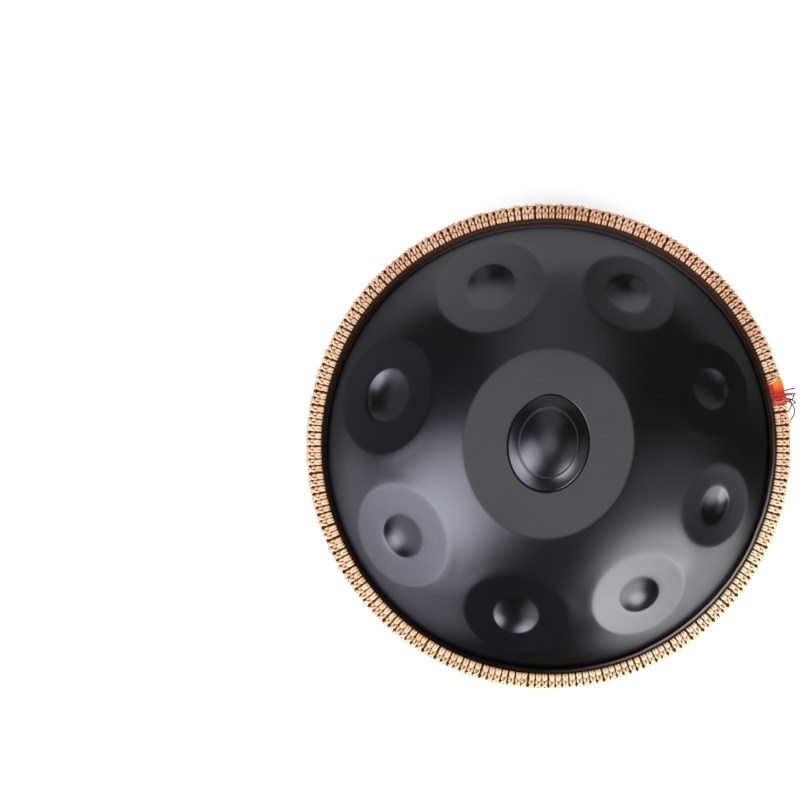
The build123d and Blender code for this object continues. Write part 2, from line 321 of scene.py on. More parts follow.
def steel_material():
    """Nitrided steel: dark satin metal, faintly mottled and grained. The ding's groove is darkened as
    painted shade; round the rim lie painted shade, a painted reflection of the rope and a strip of
    painted highlight.
    """
    n = Nodes(bpy.data.materials.new("nitrided_steel"))
    point = n.object_point()
    cloud = n.noise(point, 14.0, 4.0, 0.55)
    grain = n.noise(point, 420.0, 2.0, 0.6)
    tone = n.remap(cloud, 0.3, 0.7)
    colour = n.mix(tone, (0.088, 0.087, 0.092), (0.102, 0.101, 0.106))
    # The groove round the ding's foot is darkened nearly to black: painted shade.
    groove = n.remap(n.attribute("groove"), 0.1, 0.8)
    colour = n.mix(groove, colour, (0.012, 0.012, 0.013))
    # Round the rim: painted shade and a painted reflection of the rope, laid as a rough, non-metallic
    # layer.
    rim_shading, rim_shading_colour, painted_highlight = rim_shading_zones(n, point)
    colour = n.mix(n.remap(rim_shading, 0.0, 0.8), colour, rim_shading_colour)
    # Painted highlight: a strip of brighter, more mirror-like steel on the lit side.
    colour = n.mix(painted_highlight, colour, (0.50, 0.46, 0.45))
    dull = n.math("MULTIPLY", n.remap(rim_shading, 0.75, 1.0), n.math("SUBTRACT", 1.0, painted_highlight))
    rough = n.math("ADD", n.remap(cloud, 0.3, 0.7, 0.235, 0.265), n.remap(grain, 0.3, 0.7, -0.01, 0.01))
    rough = n.math("ADD", rough, n.math("MULTIPLY", dull, 0.3))
    n.set(Base_Color=colour, Metallic=n.math("SUBTRACT", 1.0, dull), Roughness=rough,
          Specular_IOR_Level=0.0, Specular_Tint=(0.35, 0.35, 0.35))
    n.bump(grain, 0.02, 0.0002)
    return n.owner


def rope_material(name, pale, deep, gap, blush=0.0):
    """Twisted cord: fine plies wind round each strand. gap is the colour of painted shade, laid in the
    grooves between the plies and on the strands' sides turned to the rope's middle. blush is how far it
    turns redder and darker on one side."""
    n = Nodes(bpy.data.materials.new(name))
    uv = n.add("SeparateXYZ", n.add("TexCoord").outputs["UV"]).outputs
    island = n.add("NewGeometry").outputs["Random Per Island"]
    wind = n.math("ADD", n.math("MULTIPLY", uv[0], PLIES_ROUND), n.math("MULTIPLY", uv[1], PLIES_ALONG))
    ply = n.math("ABSOLUTE", n.math("SINE", n.math("MULTIPLY", wind, math.pi)))
    point = n.object_point()
    fibre = n.noise(point, 1400.0, 3.0, 0.7)
    patch = n.noise(point, 16.0, 2.0, 0.6)
    spread = n.math("ADD", island, n.remap(patch, 0.35, 0.65))
    tone = n.mix(n.math("MULTIPLY", spread, 0.5), pale, deep)
    flat, length = n.from_axis(point)
    # Redder and darker on one side; there the strands also get more painted shade on their sides.
    redder_darker = n.remap(facing(n, flat, length, REDDER_DARKER_SIDE), 0.0, 0.8)
    redder_darker = n.math("MULTIPLY", redder_darker, n.math("MULTIPLY", n.remap(patch, 0.4, 0.7, 0.6, 1.0), blush))
    tone = n.mix(n.math("MULTIPLY", redder_darker, 0.5), tone, (0.62, 0.26, 0.15))
    # Painted light: paler on the side the main lamp lights.
    lit_paleness = n.remap(facing(n, flat, length, LIT_ROPE_SIDE), 0.6, 0.95, 0.0, 0.55)
    tone = n.mix(lit_paleness, tone, (1.0, 0.87, 0.61))
    tone = n.mix(n.remap(fibre, 0.4, 0.7, 0.0, 0.3), tone, deep)
    # Painted shade towards the rope's outer edge, less of it on the lit side.
    outer_shade = n.math("SUBTRACT", n.remap(length, OUTER_SHADE_RADII[0] * MM, OUTER_SHADE_RADII[1] * MM, 0.0, 0.55), lit_paleness)
    tone = n.mix(n.math("MAXIMUM", outer_shade, 0.0), tone, deep)
    # Painted shade in the grooves between the plies.
    tone = n.mix(n.remap(ply, 0.0, 0.3, 0.3, 0.0), tone, gap)
    # Painted shade on the strands' sides turned to the rope's middle, in the gap colour.
    crest = n.math("SUBTRACT", n.attribute("crest"), n.math("MULTIPLY", redder_darker, 0.35))
    colour = n.mix(n.remap(crest, 0.05, 0.62), gap, tone)
    n.set(Base_Color=colour, Roughness=0.85, Specular_IOR_Level=0.15, Sheen_Weight=0.08)
    n.bump(n.math("ADD", ply, n.math("MULTIPLY", fibre, 0.6)), 0.35, 0.0003)
    return n.owner


def plain_material(name, colour, roughness, spread=0.2, scale=300.0):
    """One matt colour with a fine grain that darkens it by up to the spread."""
    n = Nodes(bpy.data.materials.new(name))
    grain = n.noise(n.object_point(), scale, 3.0, 0.6)
    darker = tuple(c * (1.0 - spread) for c in colour)
    colour = n.mix(n.remap(grain, 0.3, 0.7), colour, darker)
    n.set(Base_Color=colour, Roughness=roughness, Specular_IOR_Level=0.15)
    n.bump(grain, 0.3, 0.0003)
    return n.owner


# -------- upper shell

class Dome:
    """Profile of a dome's outer face: crown arc, shoulder arc and the bend to the flange."""

    def __init__(self, crown_arc):
        slope = math.asin(JUNCTION_RADIUS / crown_arc)
        self.crown_arc = crown_arc
        self.slope = slope
        self.shoulder_r = JUNCTION_RADIUS - SHOULDER_ARC * math.sin(slope)
        crease = math.asin((CREASE_RADIUS - self.shoulder_r) / SHOULDER_ARC)
        self.shoulder_z = -SHOULDER_ARC * math.cos(crease)
        self.crown_z = self.shoulder_z - (crown_arc - SHOULDER_ARC) * math.cos(slope)
        reach = SHOULDER_ARC + BEND
        self.bend_r = self.shoulder_r + math.sqrt(reach ** 2 - (BEND - self.shoulder_z) ** 2)
        self.bend_slope = math.asin((self.bend_r - self.shoulder_r) / reach)
        self.bend_start = self.shoulder_r + SHOULDER_ARC * math.sin(self.bend_slope)

    def height(self, r):
        """Height above the flange's outer face."""
        crown = self.crown_z + np.sqrt(np.maximum(self.crown_arc ** 2 - r ** 2, 0.0))
        shoulder = self.shoulder_z + np.sqrt(
            np.maximum(SHOULDER_ARC ** 2 - (r - self.shoulder_r) ** 2, 0.0)
        )
        bend = BEND - np.sqrt(np.maximum(BEND ** 2 - np.minimum(r - self.bend_r, 0.0) ** 2, 0.0))
        outer = np.where(r < self.bend_start, shoulder, bend)
        return np.where(r < JUNCTION_RADIUS, crown, outer)


UPPER = Dome(UPPER_CROWN)
LOWER = Dome(LOWER_CROWN)
UPPER_FACE = RIM_Z + HALF_PACK
FIELD_BULGE = 0.8  # how far the middle of an outer field stands over its edge's level
DRAWN = 18.0  # width of the dome round a field that is drawn to the field's edge
BENT = 0.6  # share of the gap between the two that the field closes by bending
BENT_REACH = 1.2  # how far out that goes on, over the field's own size
EDGE_ZONE = 0.15  # share of a field, at its edge, that is rounded off into the dome
CREASE = 0.4  # rounding of a field's edge
DIMPLE_RIM = 0.9  # rounding of a dimple's edge
NOTE_SEGMENTS = 112
DING_SEGMENTS = 160
RIM_SEGMENTS = 288
LOWER_SEGMENTS = 256

# Points of the dome between the fields, on circles: their radii, gaps between circles and between
# neighbours, radians of turn for each millimetre of radius, and sizes of field kept free of them
FILL_RADII = (88.0, 251.0)
FILL_STEP = 4.0
FILL_GAP = 5.0
FILL_TURN = 0.31
DING_CLEARANCE = 1.075
NOTE_CLEARANCE = 1.105


def rounded_max(a, b, width):
    """The higher of two heights, with a rounded corner where they cross."""
    return 0.5 * (a + b + np.sqrt((a - b) ** 2 + width ** 2))


class Field:
    """An oval part of the dome, pressed nearly flat. Its own axes are u and v, from its middle."""

    def oval(self, u, v, half):
        return np.sqrt((u / half[0]) ** 2 + (v / half[1]) ** 2)

    def holds(self, x, y, grow):
        u, v = self.local(x, y)
        return self.oval(u, v, self.half) < grow

    def press(self, x, y, z):
        """Heights z with this field pressed in. Field and dome bend to meet at its edge."""
        u, v = self.local(x, y)
        rho = self.oval(u, v, self.half)
        shrink = 1.0 / np.maximum(rho, 0.05)
        edge_x, edge_y = self.plan(u * shrink, v * shrink)
        edge_z = self.level(u * shrink, v * shrink)
        gap = edge_z - UPPER.height(np.hypot(edge_x, edge_y))
        beyond = (1.0 - shrink) * np.hypot(u, v)
        near = 1.0 - smooth(beyond / DRAWN)
        rounding = CREASE * near * (1.0 - smooth((1.0 - rho) / EDGE_ZONE))
        level = self.level(u, v) - BENT * gap * np.minimum(rho, BENT_REACH) ** 2
        both = -rounded_max(-level, -(z + (1.0 - BENT) * gap * near), rounding)
        formed = level + self.relief(u, v)
        return np.where(rho < 1.0 - EDGE_ZONE, formed, np.where(beyond < DRAWN, both, z))


class Note(Field):
    """An outer note: a tilted oval field whose inner and outer ends lie on the dome."""

    def __init__(self, azimuth, centre_r, field, dimple):
        self.out = direction(azimuth)
        self.across = (self.out[1], -self.out[0])
        self.centre_r = centre_r
        self.half = (field[0] / 2, field[1] / 2)
        self.dimple = (dimple[0] / 2, dimple[1] / 2)
        slope = 0.0
        for _ in range(20):
            reach = self.half[1] * math.cos(slope)
            high, low = UPPER.height(np.array([centre_r - reach, centre_r + reach]))
            slope = math.atan2(high - low, 2 * reach)
        self.slope = slope
        self.middle = (high + low) / 2
        self.side = float(UPPER.height(np.hypot(centre_r, self.half[0]))) - self.middle
        self.mean = (dimple[0] + dimple[1]) / 4
        self.depth = 2 * self.mean * DIMPLE_DEPTH_RATIO
        self.ball = (self.mean ** 2 + self.depth ** 2) / (2 * self.depth)

    def local(self, x, y):
        u = x * self.across[0] + y * self.across[1]
        v = (x * self.out[0] + y * self.out[1] - self.centre_r) / math.cos(self.slope)
        return u, v

    def plan(self, u, v):
        r = self.centre_r + v * math.cos(self.slope)
        return r * self.out[0] + u * self.across[0], r * self.out[1] + u * self.across[1]

    def level(self, u, v):
        bulge = FIELD_BULGE * (1.0 - self.oval(u, v, self.half) ** 2)
        return self.middle - v * math.sin(self.slope) + self.side * (u / self.half[0]) ** 2 + bulge

    def relief(self, u, v):
        """The dimple: a hollow cap of a ball."""
        q = np.minimum(self.oval(u, v, self.dimple), 1.3)
        bowl = np.sqrt(self.ball ** 2 - (q * self.mean) ** 2) - (self.ball - self.depth)
        return -rounded_max(bowl, 0.0, DIMPLE_RIM) / math.cos(self.slope)

    def rings(self):
        """Plan points, ring by ring, from the dimple's centre out past the field's edge."""
        dimple_steps = [0.12, 0.25, 0.38, 0.5, 0.62, 0.72, 0.8, 0.86, 0.91, 0.95, 0.98, 1.01, 1.05,
                        1.1, 1.18]
        field_steps = [0.6, 0.7, 0.8, 0.86, 0.91, 0.94, 0.96, 0.975, 0.99, 1.0, 1.01, 1.025, 1.045,
                       1.065]
        turn = np.linspace(0, 2 * math.pi, NOTE_SEGMENTS, endpoint=False)
        rings = [self.plan(np.zeros(1), np.zeros(1))]
        for steps, half in ((dimple_steps, self.dimple), (field_steps, self.half)):
            rings += [self.plan(s * half[0] * np.cos(turn), s * half[1] * np.sin(turn)) for s in steps]
        return rings


class Ding(Field):
    """The centre note: an oval flat, and on it an oval skirt with a domed top."""

    half = (DING_FLAT[0] / 2, DING_FLAT[1] / 2)
    base = (DING_BASE[0] / 2, DING_BASE[1] / 2)
    top = (DING_TOP[0] / 2, DING_TOP[1] / 2)
    along = direction(DING_AZIMUTH)
    ends = [float(UPPER.height(np.float64(size))) for size in half]

    def local(self, x, y):
        return x * self.along[0] + y * self.along[1], y * self.along[0] - x * self.along[1]

    def plan(self, u, v):
        return u * self.along[0] - v * self.along[1], u * self.along[1] + v * self.along[0]

    def level(self, u, v):
        u_share = (u / self.half[0]) ** 2
        v_share = (v / self.half[1]) ** 2
        return sum(self.ends) / 2 + (self.ends[1] - self.ends[0]) / 2 * (v_share - u_share)

    def groove(self, base):
        """1 in the groove round the skirt's foot, where base is 1, and 0 away from it."""
        return np.exp(-((base - 1.0) * sum(self.base) / 2 / GROOVE_WIDTH) ** 2)

    def foot(self, x, y):
        """The same at plan points."""
        return self.groove(self.oval(*self.local(x, y), self.base))

    def relief(self, u, v):
        """The skirt, its domed top, the bead round that and the groove round the foot."""
        base = self.oval(u, v, self.base)
        top = self.oval(u, v, self.top)
        climb = np.clip((1.0 - base) / np.maximum((1.0 - base) + (top - 1.0), 1e-6), 0.0, 1.0)
        climb = np.where(base >= 1.0, 0.0, np.where(top <= 1.0, 1.0, climb))
        mean = sum(self.top) / 2
        ball = (mean ** 2 + CAP_HEIGHT ** 2) / (2 * CAP_HEIGHT)
        cap = np.sqrt(ball ** 2 - (np.minimum(top, 1.0) * mean) ** 2) - (ball - CAP_HEIGHT)
        bead = BEAD * np.exp(-((top - 1.0) * mean / BEAD_WIDTH) ** 2)
        return SKIRT_HEIGHT * climb + cap + bead - GROOVE * self.groove(base)

    def rings(self):
        """Plan points, ring by ring, from the middle of the top out past the flat's edge."""
        turn = np.linspace(0, 2 * math.pi, DING_SEGMENTS, endpoint=False)
        cos, sin = np.cos(turn), np.sin(turn)
        edge = [-3.2, -2.4, -1.8, -1.3, -0.9, -0.6, -0.3, 0.0, 0.3, 0.6, 0.9, 1.3, 1.8]
        cap_steps = [0.1, 0.22, 0.34, 0.46, 0.58, 0.7, 0.8, 0.87]
        rim_steps = [0.95, 0.97, 0.98, 0.99, 1.0, 1.01, 1.02, 1.035, 1.05]
        sizes = [(s * self.top[0], s * self.top[1]) for s in cap_steps]
        sizes += [(self.top[0] + step, self.top[1] + step) for step in edge]
        for share in (0.25, 0.4, 0.55, 0.7):
            sizes.append([share * b + (1 - share) * t for b, t in zip(self.base, self.top)])
        sizes += [(self.base[0] + step, self.base[1] + step) for step in edge]
        for share in (0.08, 0.2, 0.35, 0.5, 0.65, 0.78, 0.86):
            sizes.append([share * h + (1 - share) * b for h, b in zip(self.half, self.base)])
        sizes += [(s * self.half[0], s * self.half[1]) for s in rim_steps]
        rings = [self.plan(np.zeros(1), np.zeros(1))]
        return rings + [self.plan(a * cos, b * sin) for a, b in sizes]


NOTES = [Note(*note) for note in OUTER_NOTES]
DING = Ding()


def upper_height(x, y):
    z = UPPER.height(np.hypot(x, y))
    for field in (*NOTES, DING):
        z = field.press(x, y, z)
    return z


def upper_normals(x, y):
    step = 0.05
    slope_x = (upper_height(x + step, y) - upper_height(x - step, y)) / (2 * step)
    slope_y = (upper_height(x, y + step) - upper_height(x, y - step)) / (2 * step)
    normals = np.stack([-slope_x, -slope_y, np.ones_like(x)], axis=1)
    return normals / np.linalg.norm(normals, axis=1)[:, None]


def join_rings(rings, start, faces):
    """Adds the faces between neighbouring rings of plan points; returns each ring's first index."""
    firsts, index = [], start
    for ring in rings:
        firsts.append(index)
        index += len(ring[0])
    for inner, outer, ring in zip(firsts, firsts[1:], rings[1:]):
        count = len(ring[0])
        for k in range(count):
            after = (k + 1) % count
            if outer - inner == 1:
                faces.append((inner, outer + k, outer + after))
            else:
                faces.append((inner + k, outer + k, outer + after, inner + after))
    return firsts


def upper_plan():
    """Plan points and faces of the whole upper face, and the index range of its outer edge."""
    points, faces, loops = [], [], []
    total = 0
    for field in (*NOTES, DING):
        rings = field.rings()
        firsts = join_rings(rings, total, faces)
        points += [np.stack(ring, axis=1) for ring in rings]
        count = len(rings[-1][0])
        loops.append(range(firsts[-1], firsts[-1] + count))
        total = firsts[-1] + count
    turn = np.linspace(0, 2 * math.pi, RIM_SEGMENTS, endpoint=False)
    bend = np.linspace(UPPER.bend_start, UPPER.bend_r, 6)
    radii = [253.0, 255.5, 257.8, *bend, 264.5, 268.0, 274.0, FLANGE_RADIUS]
    rings = [(r * np.cos(turn), r * np.sin(turn)) for r in radii]
    firsts = join_rings(rings, total, faces)
    points += [np.stack(ring, axis=1) for ring in rings]
    loops.append(range(firsts[0], firsts[0] + RIM_SEGMENTS))
    total = firsts[-1] + RIM_SEGMENTS
    points = np.concatenate(points + free_points())
    faces += fill_faces(points, loops, range(total, len(points)))
    return points, faces, range(firsts[-1], total)


def free_points():
    """Plan points of the dome between the fields."""
    fill = []
    for r in np.arange(*FILL_RADII, FILL_STEP):
        count = int(2 * math.pi * r / FILL_GAP)
        angles = np.linspace(0, 2 * math.pi, count, endpoint=False) + FILL_TURN * r
        x, y = r * np.cos(angles), r * np.sin(angles)
        keep = ~DING.holds(x, y, DING_CLEARANCE)
        for note in NOTES:
            keep &= ~note.holds(x, y, NOTE_CLEARANCE)
        fill.append(np.stack([x[keep], y[keep]], axis=1))
    return fill


def fill_faces(points, loops, free):
    """Triangles between the fields' outermost rings and the innermost ring of the rim."""
    used = [index for loop in loops for index in loop] + list(free)
    place = {index: k for k, index in enumerate(used)}
    owner = {index: number for number, loop in enumerate(loops[:-1]) for index in loop}
    edges = []
    for loop in loops:
        ring = [place[index] for index in loop]
        edges += list(zip(ring, ring[1:] + ring[:1]))
    flat = [Vector(points[index]) for index in used]
    _, _, triangles, sources, _, _ = delaunay_2d_cdt(flat, edges, [], 0, 1e-4)
    faces = []
    for triangle in triangles:
        corners = [used[sources[k][0]] for k in triangle]
        owners = {owner.get(index) for index in corners}
        if len(owners) > 1 or None in owners:  # not inside one field
            faces.append(tuple(corners))
    return faces


def make_upper_shell(material):
    plan, faces, edge = upper_plan()
    x, y = plan[:, 0], plan[:, 1]
    outside = np.stack([x, y, UPPER_FACE + upper_height(x, y)], axis=1)
    normals = upper_normals(x, y)
    inside = outside - SHEET * normals
    count = len(outside)
    faces = faces + [tuple(index + count for index in reversed(face)) for face in faces]
    ring = list(edge)
    for a, b in zip(ring, ring[1:] + ring[:1]):
        faces.append((a, a + count, b + count, b))
    piece = mesh_piece(
        "upper_shell_formed", np.concatenate([outside, inside]), faces, material,
        normals=np.concatenate([normals, -normals]),
    )
    # Share of the ding's groove, by which the material paints shade into it.
    set_point_values(piece, "groove", np.tile(DING.foot(x, y), 2))
    finish_piece(piece, "shell_steel", "upper_shell")


# -------- lower shell

def band_faces(rows, segments, flip=False):
    """Faces of a closed profile turned round the axis, from its rows of points."""
    faces = []
    for row in range(rows):
        here, below = row * segments, (row + 1) % rows * segments
        for k in range(segments):
            after = (k + 1) % segments
            a, b, c, d = here + k, below + k, below + after, here + after
            faces.append((a, d, c, b) if flip else (a, b, c, d))
    return faces


def arc(centre, radius, start, end, count, skip=1):
    """Profile points of an arc between two slopes, in (r, depth), with the arc's own normals.
    The first ones, which the line before it ends in, are skipped."""
    slopes = np.linspace(start, end, count)
    normals = np.stack([np.sin(slopes), np.cos(slopes)], axis=1)[skip:]
    return np.array(centre) + radius * normals, normals


def lower_profile():
    """Outer face of the lower shell from the neck's edge to the flange's, as points and normals."""
    crown_height = math.sqrt(LOWER_CROWN ** 2 - FLAT_CORNER ** 2)
    drop = LOWER.crown_z + crown_height
    rounding_r = math.sqrt((LOWER_CROWN - FLAT_ROUNDING) ** 2 - (crown_height - FLAT_ROUNDING) ** 2)
    touch = math.asin(rounding_r / (LOWER_CROWN - FLAT_ROUNDING))
    neck = np.linspace(drop - NECK_TOP, drop - LIP, 6)
    flat = np.linspace(PORT_RADIUS + LIP, rounding_r, 5)[1:-1]
    flange = np.linspace(LOWER.bend_r, FLANGE_RADIUS, 5)[1:]
    shoulder = (LOWER.shoulder_r, LOWER.shoulder_z)
    parts = [
        (np.stack([np.full(6, PORT_RADIUS), neck], axis=1), np.tile([-1.0, 0.0], (6, 1))),
        arc((PORT_RADIUS + LIP, drop - LIP), LIP, -math.pi / 2, 0.0, 10),
        (np.stack([flat, np.full(len(flat), drop)], axis=1), np.tile([0.0, 1.0], (len(flat), 1))),
        arc((rounding_r, drop - FLAT_ROUNDING), FLAT_ROUNDING, 0.0, touch, 6, skip=0),
        arc((0.0, LOWER.crown_z), LOWER_CROWN, touch, LOWER.slope, 22),
        arc(shoulder, SHOULDER_ARC, LOWER.slope, LOWER.bend_slope, 20),
        arc((LOWER.bend_r, BEND), -BEND, LOWER.bend_slope, 0.0, 7),
        (np.stack([flange, np.zeros(4)], axis=1), np.tile([0.0, 1.0], (4, 1))),
    ]
    return (np.concatenate([part[k] for part in parts]) for k in (0, 1))


def make_lower_shell(material):
    outer, normals = lower_profile()
    inner = outer - SHEET * normals
    line = np.concatenate([outer, inner[::-1]])
    outward = np.concatenate([normals, -normals[::-1]])
    turn = np.linspace(0, 2 * math.pi, LOWER_SEGMENTS, endpoint=False)
    cos, sin, one = np.cos(turn), np.sin(turn), np.ones(LOWER_SEGMENTS)
    face = RIM_Z - HALF_PACK
    verts = [np.stack([r * cos, r * sin, (face - depth) * one], axis=1) for r, depth in line]
    facings = [np.stack([out * cos, out * sin, -down * one], axis=1) for out, down in outward]
    piece = mesh_piece(
        "lower_shell_formed", np.concatenate(verts), band_faces(len(line), LOWER_SEGMENTS, flip=True),
        material, normals=np.concatenate(facings),
    )
    finish_piece(piece, "shell_steel", "lower_shell")


# -------- rope work

def away_from_core(point):
    """Unit vector from the middle of the rope's section to a point."""
    r = math.hypot(point[0], point[1])
    away = np.array([point[0], point[1], 0.0]) * (r - CORE_R) / r
    away[2] = CORE_SPREAD * (point[2] - RIM_Z)
    return away / np.linalg.norm(away)


class Tubes:
    """Collects round strands into one mesh. A uv goes once round a strand, and along it in metres.
    A point's crest is 1 on the side away from the rope's middle, and -1 on the side towards it."""

    def __init__(self):
        self.verts, self.faces, self.uvs, self.crests = [], [], [], []

    def add(self, points, radius):
        sides = TUBE_SIDES
        count = len(points)
        along = np.gradient(points, axis=0)
        along /= np.linalg.norm(along, axis=1)[:, None]
        side = np.cross(along[0], [0.3, 0.2, 1.0])
        start = len(self.verts) * sides
        travelled = 0.0
        lengths = []
        angles = np.linspace(0, 2 * math.pi, sides, endpoint=False)
        for k in range(count):
            side = side - along[k] * side.dot(along[k])
            side /= np.linalg.norm(side)
            up = np.cross(along[k], side)
            ring = np.cos(angles)[:, None] * side + np.sin(angles)[:, None] * up
            self.verts.append(points[k] + radius * ring)
            self.crests.append(ring @ away_from_core(points[k]))
            travelled += np.linalg.norm(points[k] - points[k - 1]) * MM if k else 0.0
            lengths.append(travelled)
        for k in range(count - 1):
            a, b = start + k * sides, start + (k + 1) * sides
            for j in range(sides):
                after = (j + 1) % sides
                self.faces.append((a + j, a + after, b + after, b + j))
                u0, u1 = j / sides, (j + 1) / sides
                here, there = lengths[k], lengths[k + 1]
                self.uvs += [(u0, here), (u1, here), (u1, there), (u0, there)]
        last = start + (count - 1) * sides
        self.faces.append(tuple(start + j for j in reversed(range(sides))))
        self.faces.append(tuple(last + j for j in range(sides)))
        self.uvs += [(j / sides, 0.0) for j in reversed(range(sides))]
        self.uvs += [(j / sides, travelled) for j in range(sides)]

    def finish(self, name, material, slot, node):
        piece = mesh_piece(name, np.concatenate(self.verts), self.faces, material, uvs=self.uvs)
        set_point_values(piece, "crest", np.concatenate(self.crests))
        piece.visible_glossy = False
        finish_piece(piece, slot, node)


def curve_through(points, steps):
    """Smooth line through control points, with a few steps to each span."""
    p = np.asarray(points, float)
    p = np.vstack([2 * p[0] - p[1], p, 2 * p[-1] - p[-2]])
    line = []
    for k in range(1, len(p) - 2):
        for t in np.arange(steps) / steps:
            line.append(0.5 * (2 * p[k] + (p[k + 1] - p[k - 1]) * t
                               + (2 * p[k - 1] - 5 * p[k] + 4 * p[k + 1] - p[k + 2]) * t * t
                               + (3 * p[k] - p[k - 1] - 3 * p[k + 1] + p[k + 2]) * t ** 3))
    line.append(p[-2])
    return np.array(line)


def on_rim(local, azimuth):
    """Points at an azimuth, given as radius, distance along the rim and height over its middle."""
    local = np.asarray(local, float)
    r = local[:, 0]
    turn = math.radians(azimuth) + local[:, 1] / ARC_R
    return np.stack([r * np.cos(turn), r * np.sin(turn), RIM_Z + local[:, 2]], axis=1)


def bight(tubes, azimuth, side, rng):
    """Loop of the inner row: up the rope's inner edge, round at the middle line, and back."""
    legs = 1.62 + rng.uniform(-0.12, 0.12)
    reach = rng.uniform(-0.6, 0.6)
    lean = rng.uniform(-0.7, 0.7)
    half = [(269.7, -legs, 3.2), (268.8, -legs, 3.9), (269.0, -legs, 4.9), (270.0, -legs, 5.6),
            (271.3, -legs, 5.8), (272.2 + reach * 0.5, -legs * 0.75, 5.5)]
    points = half + [(BIGHT_TIP + reach, 0.0, 5.1)] + [(r, -s, z) for r, s, z in reversed(half)]
    points = [(r, s + lean * (r - 268.8) / 5, side * z) for r, s, z in points]
    if side > 0:
        creep = CREEP * max(math.cos(math.radians(azimuth - CREEP_SIDE)), 0.0) ** 2
        inward = [creep * min(max((BIGHT_TIP - r) / CREEP_FADE, 0.0), 1.0) for r, _, _ in points]
        points = [(r - shift, s, z) for (r, s, z), shift in zip(points, inward)]
    tubes.add(on_rim(curve_through(points, 2), azimuth), STRAND * rng.uniform(0.96, 1.04))


def hitch(tubes, azimuth, rng):
    """Two strands of the outer row: out from under the bights, crossing, and round the edge."""
    cross = rng.uniform(0.75, 1.3)
    out = rng.uniform(-0.7, 0.7)
    waist = rng.uniform(-0.6, 0.6)
    for way in (-1, 1):
        tip = rng.uniform(-0.8, 0.8)
        upper = [
            (272.9, way * 1.7, 2.9),
            (274.8, way * 2.0, 4.3),
            (276.7 + waist, way * 1.9, 5.3 + 0.3 * way),
            (278.5 + waist, way * 0.95, 5.4 + 0.8 * way),
            (280.3 + waist / 2, -way * 1.3 * cross, 4.9 + 0.4 * way),
            (282.3 + (out + tip) / 2, -way * 2.15 * cross, 2.8),
        ]
        edge = [(283.2 + out + tip, -way * 2.2 * cross, 0.0)]
        lower = [(r, s, -z) for r, s, z in reversed(upper)]
        points = curve_through(upper + edge + lower, 2)
        tubes.add(on_rim(points, azimuth), STRAND * rng.uniform(0.9, 0.99))


def make_rope(material, core_material):
    rng = random.Random(11)
    upper, lower, outer = Tubes(), Tubes(), Tubes()
    for k in range(HITCHES):
        azimuth = (k + 0.5) * 360.0 / HITCHES
        if SPLICE_FROM < azimuth < SPLICE_TO:
            continue
        azimuth += rng.uniform(-0.14, 0.14)
        bight(upper, azimuth, 1, rng)
        bight(lower, azimuth, -1, rng)
        hitch(outer, azimuth, rng)
    upper.finish("rope_upper_bights", material, "rope", "rim_lacing")
    lower.finish("rope_lower_bights", material, "rope", "rim_lacing")
    outer.finish("rope_hitches", material, "rope", "rim_lacing")
    make_rope_core(core_material)


def make_rope_core(material):
    """Inner turns of the lacing, seen only as shadow between the hitches."""
    outline = [(269.3, 3.2), (270.6, 4.0), (274.0, 4.1), (278.5, 4.1), (281.2, 3.5), (282.9, 1.8)]
    outline += [(r, -z) for r, z in reversed(outline)]
    segments = HITCHES * 2
    turn = np.linspace(0, 2 * math.pi, segments, endpoint=False)
    verts = []
    for r, z in outline:
        wave = r + 0.25 * np.sin(turn * HITCHES)
        height = np.full(segments, RIM_Z + z)
        verts.append(np.stack([wave * np.cos(turn), wave * np.sin(turn), height], axis=1))
    faces = band_faces(len(outline), segments)
    piece = mesh_piece("rope_inner_turns", np.concatenate(verts), faces, material)
    piece.visible_glossy = False
    finish_piece(piece, "rope", "rim_lacing")


# -------- splice

def wrap_section(grow, inner_r):
    """Half round line over the rope's section, from the top's inner end round to the bottom's."""
    line = [(inner_r, 6.2), (272.5, 6.6), (276.0, 6.7), (279.5, 6.1), (282.0, 4.4), (283.5, 2.0),
            (283.8, 0.0)]
    line = [(r + grow * 0.7, z + grow * 0.7) if z > 0 else (r + grow, z) for r, z in line]
    return line + [(r, -z) for r, z in reversed(line[:-1])]


def ribbon_material():
    """Satin ribbon, dyed from orange to red across its width, with fine threads along it."""
    n = Nodes(bpy.data.materials.new("orange_ribbon"))
    across = n.attribute("across")
    weave = n.noise(n.object_point(), 700.0, 2.0, 0.6)
    shade = n.math("ADD", across, n.remap(weave, 0.3, 0.7, -0.06, 0.06))
    stops = [(0.0, (0.42, 0.006, 0.004)), (0.22, (0.62, 0.026, 0.006)), (0.45, (0.76, 0.13, 0.012)),
             (0.75, (0.72, 0.25, 0.03)), (1.0, (0.66, 0.32, 0.07))]
    n.set(Base_Color=n.ramp(shade, stops), Roughness=0.45, Specular_IOR_Level=0.3, Sheen_Weight=0.05)
    threads = n.math("SINE", n.math("MULTIPLY", across, 90.0))
    n.bump(n.math("ADD", threads, weave), 0.25, 0.0002)
    return n.owner


